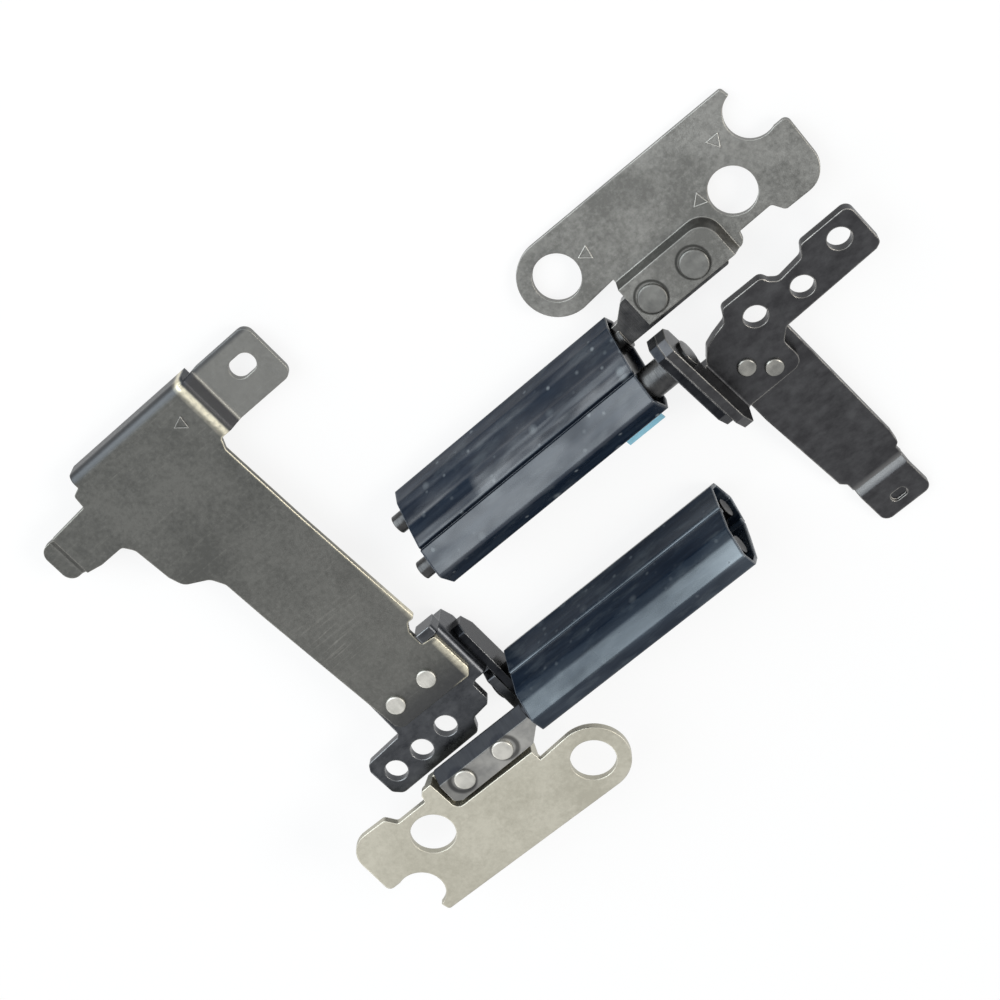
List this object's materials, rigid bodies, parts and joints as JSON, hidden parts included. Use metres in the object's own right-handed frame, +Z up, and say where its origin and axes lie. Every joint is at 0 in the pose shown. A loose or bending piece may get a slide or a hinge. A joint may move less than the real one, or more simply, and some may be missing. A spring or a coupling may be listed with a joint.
{
  "type": "laptop hinge pair",
  "caption": "Left and right dual-shaft friction hinges for a fold-round laptop lid, with glossy two-lobed covers, black base brackets and bare steel screen plates.",
  "frame": {"origin": "centre of the pair's footprint, on the surface that it lies on", "axes": "+X along all four shafts, towards the right hinge's brackets; +Z up from the surface"},
  "size_m": [0.0968, 0.0696, 0.0128],
  "materials": {
    "gloss_cover": "glossy blue-black, with dust specks",
    "black_steel": "charcoal coating, slightly glossy",
    "bare_steel": "bare stamped sheet, tumbled and smudged",
    "shaft_steel": "dark oiled steel",
    "rivet_steel": "pale plated steel",
    "plain_steel": "oiled spring steel",
    "blue_film": "thin light-blue film"
  },
  "bodies": {
    "base_side": {"left_base_shaft": "shaft_steel", "left_base_ring": "plain_steel", "left_crank_plate": "black_steel", "left_base_bracket": "black_steel", "left_base_plate": "bare_steel", "left_base_rivets": "rivet_steel", "right_base_shaft": "shaft_steel", "right_base_ring": "plain_steel", "right_crank_plate": "black_steel", "right_base_bracket": "black_steel", "right_base_strip": "black_steel", "right_base_rivets": "rivet_steel"},
    "left_housing": {"left_housing_cover": "gloss_cover", "left_front_link": "plain_steel", "left_rear_link": "plain_steel", "left_torque_clips": "plain_steel", "left_spring_washers": "plain_steel"},
    "left_screen_side": {"left_screen_shaft": "shaft_steel", "left_screen_ring": "plain_steel", "left_screen_plate": "bare_steel", "left_screen_rivets": "rivet_steel"},
    "right_housing": {"right_housing_cover": "gloss_cover", "right_front_link": "plain_steel", "right_rear_link": "plain_steel", "right_torque_clips": "plain_steel", "right_spring_washers": "plain_steel", "right_film_tab": "blue_film"},
    "right_screen_side": {"right_screen_shaft": "shaft_steel", "right_screen_ring": "plain_steel", "right_screen_plate": "bare_steel", "right_screen_rivets": "rivet_steel"}
  },
  "joints": [
    {"name": "left_base_turn", "type": "hinge", "parent": "base_side", "child": "left_housing", "pos_m": [-0.00226, -0.01865, 0.00326], "axis": [1, 0, 0], "range_deg": [-18.98, 161.02]},
    {"name": "left_screen_turn", "type": "hinge", "parent": "left_housing", "child": "left_screen_side", "pos_m": [-0.00226, -0.02036, 0.00964], "axis": [1, 0, 0], "range_deg": [-165, 15]},
    {"name": "right_base_turn", "type": "hinge", "parent": "base_side", "child": "right_housing", "pos_m": [0.00254, 0.0008, 0.00809], "axis": [1, 0, 0], "range_deg": [-32.13, 147.87]},
    {"name": "right_screen_turn", "type": "hinge", "parent": "right_housing", "child": "right_screen_side", "pos_m": [0.00254, 0.00504, 0.00303], "axis": [1, 0, 0], "range_deg": [-130.3, 49.7]}
  ]
}
